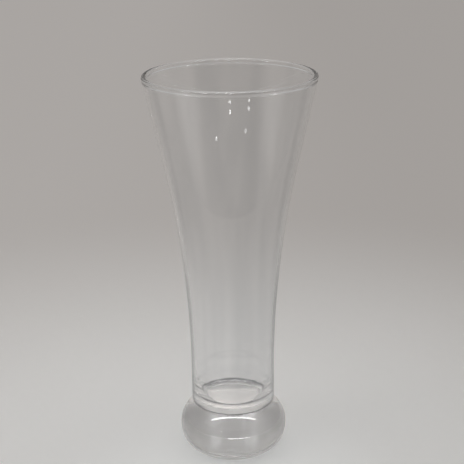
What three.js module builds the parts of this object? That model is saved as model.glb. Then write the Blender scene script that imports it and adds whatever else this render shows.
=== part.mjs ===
// A flared beer glass: a thin blown bowl fused onto a heavy pressed foot.
// Millimetres, +Z up, with the origin at the centre of the ring that the glass stands on.
import * as THREE from "three";

// Overall form.
const HEIGHT = 184;
const RIM_DIAMETER = 80;
const NECK_DIAMETER = 40;

// The flare: the height where its straight side, run down, would meet the neck,
// and the long radius that blends the two.
const FLARE_KNEE_HEIGHT = 92;
const FLARE_BLEND_RADIUS = 475;

// Thickness of the glass in the wall, at the fire-polished lip and under the drink,
// and the length over which the lip's bead fades into the inner face.
const WALL_THICKNESS = 1.4;
const LIP_THICKNESS = 2.3;
const LIP_FADE = 2;
const FLOOR_THICKNESS = 1.4;

// The tall inner corner, where the wall thickens towards the floor.
const FLOOR_CORNER_HEIGHT = 14;
const FLOOR_CORNER_WIDTH = 6;

// The foot, up to the crease where the bowl sits on it. Its shoulder leaves the bulge upright
// and aims at the shoulder height, and its heel does the same below the bulge.
const FOOT_HEIGHT = 23.5;
const FOOT_DIAMETER = 51.5;
const BULGE_HEIGHT = 11.5;
const SHOULDER_HEIGHT = 18.4;
const HEEL_HEIGHT = 3.6;
const REST_DIAMETER = 40;
const REST_WIDTH = 4;
const PUSH_UP_DEPTH = 0.5;

// Rounding of the bowl's lower edge, which leaves the groove at the crease.
const CREASE_RADIUS = 1.3;

// Facets round the axis, and along each curve of a profile.
const TURN_STEPS = 72;
const CURVE_STEPS = 8;

const neckRadius = NECK_DIAMETER / 2;
const boreRadius = neckRadius - WALL_THICKNESS;
const seamRadius = neckRadius - CREASE_RADIUS;

// A profile point: distance from the axis, then height.
const at = (radius, height) => new THREE.Vector2(radius, height);

// Points on an elliptical arc. Angles run from straight outwards, and to may lie either side of from.
function arc(centre, halfWidth, halfHeight, from, to) {
  const curve = new THREE.EllipseCurve(centre.x, centre.y, halfWidth, halfHeight, from, to, to < from);
  return curve.getPoints(CURVE_STEPS);
}

// Points on a smooth bend that leaves start and reaches end, both aimed at corner.
function bend(start, corner, end) {
  return new THREE.QuadraticBezierCurve(start, corner, end).getPoints(CURVE_STEPS);
}

// Points on a smooth step from start to end that leaves and arrives along the same direction.
function ease(start, end, direction, length) {
  const reach = direction.clone().multiplyScalar(length / 2);
  const curve = new THREE.CubicBezierCurve(start, start.clone().add(reach), end.clone().sub(reach), end);
  return curve.getPoints(CURVE_STEPS);
}

// A solid turned from a profile that starts and ends on the axis.
function turned(name, profile, material) {
  const geometry = new THREE.LatheGeometry(profile, TURN_STEPS);
  geometry.rotateX(Math.PI / 2);
  const mesh = new THREE.Mesh(geometry, material);
  mesh.name = name;
  return mesh;
}

// One face of the wall above its straight neck: the long blend, whose last point starts the
// straight flare. The flare passes outside the target point by offset.
function wallFace(radius, lowest, target, offset) {
  const knee = at(radius, FLARE_KNEE_HEIGHT);
  const aim = target.clone().sub(knee);
  const lean = Math.atan2(aim.x, aim.y) + Math.asin(offset / aim.length());
  const flareLength = Math.sqrt(aim.lengthSq() - offset ** 2);
  const turn = Math.tan(lean / 2);
  const tangent = Math.min(FLARE_BLEND_RADIUS * turn, flareLength, knee.y - lowest);
  const blendRadius = tangent / turn;
  const blendCentre = at(radius + blendRadius, knee.y - tangent);
  const blend = arc(blendCentre, blendRadius, blendRadius, Math.PI, Math.PI - lean);
  return { blend, lean };
}

// The bowl: base disc, crease edge, outer face, round lip, its bead, inner face, corner and floor.
function bowlProfile() {
  const lipRadius = LIP_THICKNESS / 2;
  const lipCentre = at(RIM_DIAMETER / 2 - lipRadius, HEIGHT - lipRadius);
  const edgeTop = FOOT_HEIGHT + CREASE_RADIUS;
  const outer = wallFace(neckRadius, edgeTop, lipCentre, lipRadius);

  const down = at(-Math.sin(outer.lean), -Math.cos(outer.lean));
  const inwards = at(down.y, -down.x);
  const beadStart = lipCentre.clone().addScaledVector(inwards, lipRadius);
  const beadEnd = lipCentre.clone().addScaledVector(inwards, WALL_THICKNESS - lipRadius);
  beadEnd.addScaledVector(down, LIP_FADE);

  const floorHeight = FOOT_HEIGHT + FLOOR_THICKNESS;
  const cornerWidth = Math.min(FLOOR_CORNER_WIDTH, boreRadius);
  const cornerCentre = at(boreRadius - cornerWidth, floorHeight + FLOOR_CORNER_HEIGHT);
  const inner = wallFace(boreRadius, cornerCentre.y, beadEnd, 0);
  return [
    at(0, FOOT_HEIGHT),
    ...arc(at(seamRadius, edgeTop), CREASE_RADIUS, CREASE_RADIUS, -Math.PI / 2, 0),
    ...outer.blend,
    ...arc(lipCentre, lipRadius, lipRadius, -outer.lean, Math.PI - outer.lean),
    ...ease(beadStart, beadEnd, down, LIP_FADE).slice(1),
    ...inner.blend.reverse(),
    ...arc(cornerCentre, cornerWidth, FLOOR_CORNER_HEIGHT, 0, -Math.PI / 2),
    at(0, floorHeight),
  ];
}

// The foot: push-up, resting ring, heel, bulge, shoulder and the flat top that the bowl sits on.
function footProfile() {
  const bulgeRadius = FOOT_DIAMETER / 2;
  const restRadius = REST_DIAMETER / 2;
  const ringInside = restRadius - REST_WIDTH;
  const widest = at(bulgeRadius, BULGE_HEIGHT);
  return [
    ...bend(at(0, PUSH_UP_DEPTH), at(ringInside / 2, PUSH_UP_DEPTH), at(ringInside, 0)),
    ...bend(at(restRadius, 0), at(bulgeRadius, HEEL_HEIGHT), widest),
    ...bend(widest, at(bulgeRadius, SHOULDER_HEIGHT), at(seamRadius, FOOT_HEIGHT)).slice(1),
    at(0, FOOT_HEIGHT),
  ];
}

const bowlGlass = new THREE.MeshStandardMaterial({
  color: 0xe9edec,
  roughness: 0.04,
  metalness: 0,
  transparent: true,
  opacity: 0.3,
});
const footGlass = new THREE.MeshStandardMaterial({
  color: 0xdde3e2,
  roughness: 0.05,
  metalness: 0,
  transparent: true,
  opacity: 0.4,
});

const glass = new THREE.Group();
glass.add(turned("bowl", bowlProfile(), bowlGlass));
glass.add(turned("foot", footProfile(), footGlass));

export default glass;
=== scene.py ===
# The looks of a flared beer glass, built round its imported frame. Metres, +Z up, with the origin
# at the centre of the ring that the glass stands on.
from math import asin, atan2, cos, pi, radians, sin, tan, tau

import bmesh
import bpy
from mathutils import Euler, Matrix, Vector
from mathutils.geometry import interpolate_bezier


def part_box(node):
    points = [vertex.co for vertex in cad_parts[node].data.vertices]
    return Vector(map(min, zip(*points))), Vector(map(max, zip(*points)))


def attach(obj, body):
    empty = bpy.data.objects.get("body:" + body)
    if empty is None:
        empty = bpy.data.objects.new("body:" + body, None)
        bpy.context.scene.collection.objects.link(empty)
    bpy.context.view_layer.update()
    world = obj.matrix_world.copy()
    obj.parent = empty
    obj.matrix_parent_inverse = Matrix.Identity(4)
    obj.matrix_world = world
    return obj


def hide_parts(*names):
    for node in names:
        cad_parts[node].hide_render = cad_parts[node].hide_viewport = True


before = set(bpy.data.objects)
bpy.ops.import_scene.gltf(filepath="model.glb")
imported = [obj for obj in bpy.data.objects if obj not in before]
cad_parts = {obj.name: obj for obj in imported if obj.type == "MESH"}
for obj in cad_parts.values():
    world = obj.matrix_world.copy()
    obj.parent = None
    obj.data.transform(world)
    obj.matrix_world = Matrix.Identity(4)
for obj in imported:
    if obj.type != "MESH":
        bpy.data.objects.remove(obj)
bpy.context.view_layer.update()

# Foot: a heavy puck of clear soda-lime glass, pressed in a mould while hot. It has a bulged side,
# a round heel, and a resting ring round a shallow push-up, which the mould leaves matte. Its flat
# top is fused to the bowl, so light passes straight through the seam.
foot_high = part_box("foot")[1]
BULGE_RADIUS = foot_high.x
CREASE_HEIGHT = foot_high.z
BULGE_HEIGHT = 0.0115
SHOULDER_HEIGHT = 0.0184
HEEL_HEIGHT = 0.0036
REST_RADIUS = 0.020
REST_WIDTH = 0.004
PUSH_UP_DEPTH = 0.0005
SEAM_RADIUS = 0.0187
TURN_SIDES = 256
BEND_STEPS = 28
SHARP_EDGE = radians(18)
SAME_PLACE = 1e-6
GLASS_IOR = 1.52
FOOT_TINT = (0.84, 0.83, 0.82, 1.0)
FOOT_TINT_DEEP = (0.80, 0.79, 0.78, 1.0)
CLOUD_SCALE = (60.0, 60.0, 60.0)
CLOUD_ROUGHNESS = 0.01
MATTE_ROUGHNESS = 0.28
MATTE_TOP = 0.0006
POLISH_START = 0.0012
PRESS_RING_SCALE = (9.0, 9.0, 260.0)
PRESS_RING_STRENGTH = 0.06
PRESS_RING_DEPTH = 0.0006

fused_seam = bpy.data.materials.new("fused_seam")
fused_seam.use_nodes = True
fused_seam.node_tree.nodes["Principled BSDF"].inputs["Alpha"].default_value = 0.0


def at(radius, height):
    """A point of a turned outline, in the plane that is spun about the axis."""
    return Vector((radius, 0.0, height))


def bend(start, corner, end):
    """Points of a smooth bend from start to end, which aims at corner at both ends."""
    return interpolate_bezier(start, start.lerp(corner, 2 / 3), end.lerp(corner, 2 / 3), end, BEND_STEPS)


def made(name, bm, *materials):
    """An object at the origin that takes over the bmesh's shape."""
    mesh = bpy.data.meshes.new(name)
    bm.to_mesh(mesh)
    bm.free()
    for material in materials:
        mesh.materials.append(material)
    item = bpy.data.objects.new(name, mesh)
    bpy.context.scene.collection.objects.link(item)
    return item


def turn(name, outline, glass):
    """A closed body of glass, spun from an outline that starts and ends on the axis. Its faces at
    the height of the crease are the fused seam."""
    bm = bmesh.new()
    points = [bm.verts.new(point) for point in outline]
    lines = [bm.edges.new(pair) for pair in zip(points, points[1:])]
    bmesh.ops.spin(
        bm, geom=points + lines, cent=(0, 0, 0), axis=(0, 0, 1), angle=tau, steps=TURN_SIDES, use_merge=True
    )
    bmesh.ops.remove_doubles(bm, verts=bm.verts, dist=SAME_PLACE)
    bmesh.ops.dissolve_degenerate(bm, edges=bm.edges, dist=SAME_PLACE / 10)
    bmesh.ops.recalc_face_normals(bm, faces=bm.faces)
    for face in bm.faces:
        face.smooth = True
        face.material_index = all(abs(corner.co.z - CREASE_HEIGHT) < SAME_PLACE for corner in face.verts)
    for edge in bm.edges:
        edge.smooth = edge.calc_face_angle(0.0) < SHARP_EDGE
    return made(name, bm, glass, fused_seam)


class Tone:
    """A socket of a shader. Sums on it add Math nodes to its tree."""

    def __init__(self, socket):
        self.socket = socket
        self.tree = socket.id_data

    def node(self, kind, inputs, output=0, **settings):
        """A new node of that kind, with its settings made first, then its sockets filled or linked."""
        added = self.tree.nodes.new(kind)
        for name, value in settings.items():
            setattr(added, name, value)
        for name, value in inputs.items():
            if isinstance(value, Tone):
                self.tree.links.new(value.socket, added.inputs[name])
            else:
                added.inputs[name].default_value = value
        return Tone(added.outputs[output])

    def math(self, operation, first, second):
        return self.node("ShaderNodeMath", {0: first, 1: second}, operation=operation)

    def __add__(self, other):
        return self.math("ADD", self, other)

    def __radd__(self, other):
        return self.math("ADD", other, self)

    def __sub__(self, other):
        return self.math("SUBTRACT", self, other)

    def __rsub__(self, other):
        return self.math("SUBTRACT", other, self)

    def __mul__(self, other):
        return self.math("MULTIPLY", self, other)

    def __rmul__(self, other):
        return self.math("MULTIPLY", other, self)

    def __abs__(self):
        return self.math("ABSOLUTE", self, 0.0)

    def ramp(self, start, end):
        """From 0 at start to 1 at end, with soft ends."""
        return self.node(
            "ShaderNodeMapRange", {0: self, 1: start, 2: end, 3: 0.0, 4: 1.0}, interpolation_type="SMOOTHSTEP"
        )

    def blend(self, first, second):
        """The first colour where this is 0, and the second where it is 1."""
        colours = {"Factor": self, "A": first, "B": second}
        return self.node("ShaderNodeMix", colours, output=2, data_type="RGBA")

    def part(self, axis):
        """One number of a vector: 0 is X, 1 is Y and 2 is Z."""
        return self.node("ShaderNodeSeparateXYZ", {0: self}, output=axis)

    def noise(self, scale, detail):
        """Soft noise at these coordinates, with its own scale along each axis."""
        scaled = self.node("ShaderNodeMapping", {"Vector": self, "Scale": scale})
        return self.node("ShaderNodeTexNoise", {"Vector": scaled, "Scale": 1.0, "Detail": detail})

    def bump(self, strength, depth):
        """The normal of a surface with this relief."""
        return self.node("ShaderNodeBump", {"Height": self, "Strength": strength, "Distance": depth})

    def join(self, shader, socket):
        self.tree.links.new(self.socket, shader.inputs[socket])


def new_glass(name):
    """A clear dielectric, with its shader and the Object coordinates that its patterns read."""
    material = bpy.data.materials.new(name)
    material.use_nodes = True
    shader = material.node_tree.nodes["Principled BSDF"]
    shader.inputs["Transmission Weight"].default_value = 1.0
    shader.inputs["IOR"].default_value = GLASS_IOR
    coordinates = material.node_tree.nodes.new("ShaderNodeTexCoord")
    return material, shader, Tone(coordinates.outputs["Object"])


foot_glass, shader, place = new_glass("foot_glass")
cloud = place.noise(CLOUD_SCALE, 3.0)
matte = 1.0 - place.part(2).ramp(MATTE_TOP, POLISH_START)
press_rings = place.noise(PRESS_RING_SCALE, 2.0)
cloud.blend(FOOT_TINT, FOOT_TINT_DEEP).join(shader, "Base Color")
(matte * MATTE_ROUGHNESS + cloud * CLOUD_ROUGHNESS).join(shader, "Roughness")
press_rings.bump(PRESS_RING_STRENGTH, PRESS_RING_DEPTH).join(shader, "Normal")

ring_inside = REST_RADIUS - REST_WIDTH
widest = at(BULGE_RADIUS, BULGE_HEIGHT)
foot_outline = [
    *bend(at(0, PUSH_UP_DEPTH), at(ring_inside / 2, PUSH_UP_DEPTH), at(ring_inside, 0)),
    *bend(at(REST_RADIUS, 0), at(BULGE_RADIUS, HEEL_HEIGHT), widest),
    *bend(widest, at(BULGE_RADIUS, SHOULDER_HEIGHT), at(SEAM_RADIUS, CREASE_HEIGHT))[1:],
    at(0, CREASE_HEIGHT),
]
foot = turn("foot_glass_body", foot_outline, foot_glass)
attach(foot, "root")
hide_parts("foot")

# Bowl: the drinking vessel, blown thin from the same clear glass, with a bead at the lip where the
# rim was fire-polished. Its wall is a straight flare that one long radius blends into the neck, and
# it thickens into a tall round corner at the floor. It is fused to the foot at the crease.
bowl_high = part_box("bowl")[1]
RIM_RADIUS = bowl_high.x
RIM_HEIGHT = bowl_high.z
NECK_RADIUS = 0.020
FLARE_KNEE_HEIGHT = 0.092
FLARE_BLEND_RADIUS = 0.475
WALL_THICKNESS = 0.0014
LIP_RADIUS = 0.00115
LIP_FADE = 0.002
FLOOR_THICKNESS = 0.0014
FLOOR_CORNER_HEIGHT = 0.014
FLOOR_CORNER_WIDTH = 0.006
CREASE_RADIUS = NECK_RADIUS - SEAM_RADIUS
ARC_STEPS = 24
BLEND_STEPS = 72
RUN_SHARES = (0.01, 0.34, 0.67, 0.99)
lip_centre = at(RIM_RADIUS - LIP_RADIUS, RIM_HEIGHT - LIP_RADIUS)


def arc(centre, half_width, half_height, start, end, steps):
    """Points on an ellipse of the outline's plane, with angles counted from straight outwards."""
    angles = [start + (end - start) * step / steps for step in range(steps + 1)]
    return [centre + at(half_width * cos(angle), half_height * sin(angle)) for angle in angles]


def wall_face(radius, target, offset):
    """The long blend of one face of the wall and the lean of its straight flare, which runs on
    past the target point, outside it by offset."""
    knee = at(radius, FLARE_KNEE_HEIGHT)
    aim = target - knee
    lean = atan2(aim.x, aim.z) + asin(offset / aim.length)
    centre = knee + at(FLARE_BLEND_RADIUS, -FLARE_BLEND_RADIUS * tan(lean / 2))
    return arc(centre, FLARE_BLEND_RADIUS, FLARE_BLEND_RADIUS, pi, pi - lean, BLEND_STEPS), lean


def run(start, end):
    """Points of a straight run between two curves, which hold its shading flat."""
    return [start.lerp(end, share) for share in RUN_SHARES]


outer_blend, lean = wall_face(NECK_RADIUS, lip_centre, LIP_RADIUS)
down = at(-sin(lean), -cos(lean))
inwards = at(-cos(lean), sin(lean))
bead_start = lip_centre + inwards * LIP_RADIUS
bead_end = lip_centre + inwards * (WALL_THICKNESS - LIP_RADIUS) + down * LIP_FADE
reach = down * (LIP_FADE / 2)
bore_radius = NECK_RADIUS - WALL_THICKNESS
inner_blend = wall_face(bore_radius, bead_end, 0)[0]
floor_height = CREASE_HEIGHT + FLOOR_THICKNESS
corner_centre = at(bore_radius - FLOOR_CORNER_WIDTH, floor_height + FLOOR_CORNER_HEIGHT)
edge_centre = at(SEAM_RADIUS, CREASE_HEIGHT + CREASE_RADIUS)
edge = arc(edge_centre, CREASE_RADIUS, CREASE_RADIUS, -pi / 2, 0, ARC_STEPS)
lip = arc(lip_centre, LIP_RADIUS, LIP_RADIUS, -lean, pi - lean, ARC_STEPS)
bead = interpolate_bezier(bead_start, bead_start + reach, bead_end - reach, bead_end, ARC_STEPS)[1:]
corner = arc(corner_centre, FLOOR_CORNER_WIDTH, FLOOR_CORNER_HEIGHT, 0, -pi / 2, 2 * ARC_STEPS)
bowl_outline = [
    at(0, CREASE_HEIGHT),
    *edge,
    *run(edge[-1], outer_blend[0]),
    *outer_blend,
    *run(outer_blend[-1], lip[0]),
    *lip,
    *bead,
    *run(bead[-1], inner_blend[-1]),
    *reversed(inner_blend),
    *run(inner_blend[0], corner[0]),
    *corner,
    at(0, floor_height),
]

# The colours of the glass, the painted shade at its edges and crease, and the noise that streaks, smudges and
# ripples it.
BOWL_TINT = (0.982, 0.984, 0.986, 1.0)
STREAK_TINT = (0.910, 0.914, 0.918, 1.0)
PAINTED_EDGE_SHADE = (0.18, 0.20, 0.21, 1.0)
PAINTED_CREASE_SHADE = (0.10, 0.10, 0.11, 1.0)
STREAK_SCALE = (70.0, 70.0, 5.0)
STREAK_EDGES = (0.35, 0.65)
STREAK_RELIEF = 0.2
SMUDGE_SCALE = (45.0, 45.0, 45.0)
SMUDGE_ROUGHNESS = 0.01
BLOW_RING_SCALE = (10.0, 10.0, 170.0)
BLOW_RING_RELIEF = 1.6
BLOW_RING_FADE = (0.075, 0.035)
BLOW_MARK_STRENGTH = 0.3
BLOW_MARK_DEPTH = 0.0005

# Painted shade: where the wall turns away, its outer edge, in the neck and fainter in the flare, and a dark
# line just inside the flare's edge; and in the groove at the crease. Angles run from 0, face on, to 1.
NECK_TO_FLARE = (0.075, 0.125)
NECK_EDGE = (0.55, 0.84)
FLARE_EDGE = (0.80, 0.97)
FLARE_EDGE_DEPTH = 0.28
INNER_LINE_RISE = (0.47, 0.55)
INNER_LINE_FALL = (0.65, 0.57)
INNER_LINE_DEPTH = 0.19
GROOVE = (CREASE_HEIGHT + 0.0013, CREASE_HEIGHT + 0.0007)
GROOVE_SIDES = (CREASE_HEIGHT + 0.0030, CREASE_HEIGHT + 0.0015)
GROOVE_SIDES_TURN = (0.20, 0.50)

bowl_glass, shader, place = new_glass("bowl_glass")
height = place.part(2)
streaks = place.noise(STREAK_SCALE, 2.0)
smudges = place.noise(SMUDGE_SCALE, 4.0)
blow_rings = place.noise(BLOW_RING_SCALE, 1.0)
turned_away = place.node("ShaderNodeLayerWeight", {"Blend": 0.5}, output=1)
surface = bowl_glass.node_tree.nodes.new("ShaderNodeNewGeometry").outputs
facing = Tone(surface["Normal"])
radial = place.node("ShaderNodeVectorMath", {0: place, 1: (1.0, 1.0, 0.0)}, operation="MULTIPLY")
outwards = radial.node("ShaderNodeVectorMath", {0: radial, 1: facing}, output=1, operation="DOT_PRODUCT")
outside = (outwards * (1.0 - 2.0 * Tone(surface["Backfacing"]))).ramp(0.0, 0.002)
flare = height.ramp(*NECK_TO_FLARE)
# Painted shade: a dark edge and a dark line just inside it, by how far the surface turns away.
inner_line = turned_away.ramp(*INNER_LINE_RISE) * turned_away.ramp(*INNER_LINE_FALL)
flare_edge = FLARE_EDGE_DEPTH * turned_away.ramp(*FLARE_EDGE) + INNER_LINE_DEPTH * inner_line
painted_edge_shade = outside * (turned_away.ramp(*NECK_EDGE) * (1.0 - flare) + flare_edge * flare)
# Painted shade in the groove at the crease, reaching higher at the sides where the wall turns away.
groove_sides = outside * height.ramp(*GROOVE_SIDES) * turned_away.ramp(*GROOVE_SIDES_TURN)
groove = height.ramp(*GROOVE) + groove_sides
clear = streaks.ramp(*STREAK_EDGES).blend(BOWL_TINT, STREAK_TINT)
groove.blend(painted_edge_shade.blend(clear, PAINTED_EDGE_SHADE), PAINTED_CREASE_SHADE).join(shader, "Base Color")
(smudges * SMUDGE_ROUGHNESS).join(shader, "Roughness")
blow_marks = streaks * STREAK_RELIEF + blow_rings * BLOW_RING_RELIEF * height.ramp(*BLOW_RING_FADE)
blow_marks.bump(BLOW_MARK_STRENGTH, BLOW_MARK_DEPTH).join(shader, "Normal")

bowl = turn("bowl_glass_body", bowl_outline, bowl_glass)
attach(bowl, "root")
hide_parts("bowl")

# Table: a plain pale floor, painted a little lighter at the left as a painted fall of light. A painted pool
# of light lies round the glass, with a painted ring of the light that the foot would gather close to it, and
# fades to grey far behind. It only shows to the camera and in the glass, as does the painted lit spot under
# the foot; two painted pale patches at the sides show only in reflections, as painted highlights in the
# glass.
FLOOR_REACH = 4.0
FLOOR_SIDES = 128
FLOOR_DROP = 0.0002
FLOOR_LIT_LEFT = (0.95, 0.91, 0.88, 1.0)
FLOOR_SHADED_RIGHT = (0.86, 0.82, 0.79, 1.0)
FLOOR_TURN = 0.18
FLOOR_ROUGHNESS = 0.9
NO_GLOW = (0.0, 0.0, 0.0, 1.0)
POOL_GLOW = (0.264, 0.283, 0.288, 1.0)
POOL_PLACE = (0.0, -0.040, 0.0)
POOL_SHARE = 0.66
POOL_EDGE = (0.43, 0.05)
GATHERED_SHARE = 0.23
GATHERED_EDGE = (0.090, 0.026)
UNDER_GLOW = (0.50, 0.49, 0.48, 1.0)
SHEEN_GLOW = (0.98, 0.97, 0.96, 1.0)
SHEEN_ASIDE = (0.14, 0.25)
SHEEN_AHEAD = (-0.05, -0.13)
table_paint = bpy.data.materials.new("table_paint")
table_paint.use_nodes = True
shader = table_paint.node_tree.nodes["Principled BSDF"]
shader.inputs["Roughness"].default_value = FLOOR_ROUGHNESS
shader.inputs["Specular IOR Level"].default_value = 0.0
shader.inputs["Emission Strength"].default_value = 1.0
place = Tone(table_paint.node_tree.nodes.new("ShaderNodeTexCoord").outputs["Object"])
path = table_paint.node_tree.nodes.new("ShaderNodeLightPath").outputs
through = Tone(path["Is Transmission Ray"])
mirrored = Tone(path["Is Glossy Ray"]) * (1.0 - through)
from_axis = place.node("ShaderNodeVectorMath", {0: place}, output=1, operation="LENGTH")
from_pool = place.node("ShaderNodeVectorMath", {0: place, 1: POOL_PLACE}, output=1, operation="DISTANCE")
# Painted light: a pool of light round the glass, and a brighter ring close to the foot for the light it would
# gather.
pool = POOL_SHARE * from_pool.ramp(*POOL_EDGE) + GATHERED_SHARE * from_pool.ramp(*GATHERED_EDGE)
glow = (Tone(path["Is Camera Ray"]) + mirrored + through) * pool
# Painted light: a lit spot on the floor under the foot, seen only through the glass.
under = through * from_axis.ramp(BULGE_RADIUS, REST_RADIUS)
# Painted reflection: two pale patches at the sides that only mirror rays see, which make highlight bands in
# the glass.
sheen = mirrored * abs(place.part(0)).ramp(*SHEEN_ASIDE) * place.part(1).ramp(*SHEEN_AHEAD)
lit = under.blend(glow.blend(NO_GLOW, POOL_GLOW), UNDER_GLOW)
sheen.blend(lit, SHEEN_GLOW).join(shader, "Emission Color")
# Painted light: the floor's colour is lighter at the left, as if lit from there.
place.part(0).ramp(-FLOOR_TURN, FLOOR_TURN).blend(FLOOR_LIT_LEFT, FLOOR_SHADED_RIGHT).join(shader, "Base Color")

bm = bmesh.new()
bmesh.ops.create_circle(bm, cap_ends=True, radius=FLOOR_REACH, segments=FLOOR_SIDES)
bmesh.ops.translate(bm, verts=bm.verts, vec=(0, 0, -FLOOR_DROP))
table = made("table", bm, table_paint)

# Light: a pale room, dim behind the camera and toned like the far floor near the horizon. A soft key
# stands at the front left, with a long bar overhead, a low bar in front that only the foot takes and
# six small diodes beside the camera. Light crosses many faces of glass, so its paths may be long.
OVERHEAD_PLACE = (0.0, -0.162, 0.55)
LOW_PLACE = (0.05, -0.30, 0.004)
KEY_PLACE = (-0.50, -0.25, 0.60)
TABLE_CENTRE = (0.0, 0.0, 0.0)
FOOT_MIDDLE = (0.0, 0.0, 0.012)
DIODE_AIM = (0.0, 0.04, 0.16)
DIODE_FRONT = -0.55
DIODES = ((0.0, 0.283), (0.0, 0.293), (-0.33, 0.296), (-0.33, 0.306), (-0.285, 0.271), (0.26, 0.262))
ROOM_LIGHT = (0.45, 0.445, 0.44, 1.0)
ROOM_DIM = (0.06, 0.06, 0.065, 1.0)
DIM_BEHIND = (-0.45, -0.75)
DIM_BELOW = (0.60, 0.45)
ROOM_FAR_LEFT = (0.396, 0.377, 0.360, 1.0)
ROOM_FAR_RIGHT = (0.362, 0.341, 0.325, 1.0)
FAR_BELOW = (0.32, 0.16)
FAR_TURN = 0.10
GLASS_BOUNCES = 64
SEAM_BOUNCES = 32


def add_lamp(name, place, aim, size, power, on_matte=False, through_glass=True, only=None):
    """A lit rectangle, hidden from the camera. It lights matte surfaces only with on_matte, shows
    through the glass with through_glass, and where only is given, it lights that piece alone."""
    lamp = bpy.data.lights.new(name, "AREA")
    lamp.shape = "RECTANGLE"
    lamp.size, lamp.size_y = size
    lamp.energy = power
    stand = bpy.data.objects.new(name, lamp)
    stand.location = place
    stand.rotation_euler = (Vector(aim) - Vector(place)).to_track_quat("-Z", "Y").to_euler()
    stand.visible_camera = False
    stand.visible_diffuse = on_matte
    stand.visible_transmission = through_glass
    if only:
        stand.light_linking.receiver_collection = bpy.data.collections.new(f"lit_by_{name}")
        stand.light_linking.receiver_collection.objects.link(only)
    bpy.context.scene.collection.objects.link(stand)


add_lamp("overhead_bar", OVERHEAD_PLACE, TABLE_CENTRE, size=(0.90, 0.036), power=1.90)
add_lamp("low_bar", LOW_PLACE, FOOT_MIDDLE, size=(0.25, 0.014), power=0.30, through_glass=False, only=foot)
add_lamp("soft_key", KEY_PLACE, TABLE_CENTRE, size=(0.40, 0.40), power=0.20, on_matte=True)
for number, (side, high) in enumerate(DIODES):
    add_lamp(f"diode_{number}", (side, DIODE_FRONT, high), DIODE_AIM, size=(0.022, 0.004), power=0.022)

world = bpy.data.worlds.new("room")
world.use_nodes = True
backdrop = world.node_tree.nodes["Background"]
heading = Tone(world.node_tree.nodes.new("ShaderNodeTexCoord").outputs["Generated"])
dim = heading.part(1).ramp(*DIM_BEHIND) * heading.part(2).ramp(*DIM_BELOW)
far = heading.part(2).ramp(*FAR_BELOW)
far_tone = heading.part(0).ramp(-FAR_TURN, FAR_TURN).blend(ROOM_FAR_LEFT, ROOM_FAR_RIGHT)
dim.blend(far.blend(ROOM_LIGHT, far_tone), ROOM_DIM).join(backdrop, "Color")
bpy.context.scene.world = world
bpy.context.scene.cycles.max_bounces = GLASS_BOUNCES
bpy.context.scene.cycles.transmission_bounces = GLASS_BOUNCES
bpy.context.scene.cycles.glossy_bounces = GLASS_BOUNCES
bpy.context.scene.cycles.transparent_max_bounces = SEAM_BOUNCES

# Camera: half a metre in front of the glass and above its rim, tilted down, with a slight roll. Its
# long lens takes in the whole glass.
CAMERA_PLACE = (0.0003, -0.5318, 0.2880)
CAMERA_TILT = radians(18.59)
CAMERA_ROLL = radians(-0.62)
CAMERA_LENS = 92.93
SENSOR_WIDTH = 36.0
lens = bpy.data.cameras.new("camera")
lens.lens = CAMERA_LENS
lens.sensor_width = SENSOR_WIDTH
camera = bpy.data.objects.new("camera", lens)
tilt = Euler((pi / 2 - CAMERA_TILT, 0, 0)).to_matrix()
roll = Matrix.Rotation(CAMERA_ROLL, 3, "Z")
camera.matrix_world = Matrix.Translation(CAMERA_PLACE) @ (tilt @ roll).to_4x4()
bpy.context.scene.collection.objects.link(camera)
bpy.context.scene.camera = camera
bpy.context.scene.view_settings.view_transform = "Standard"
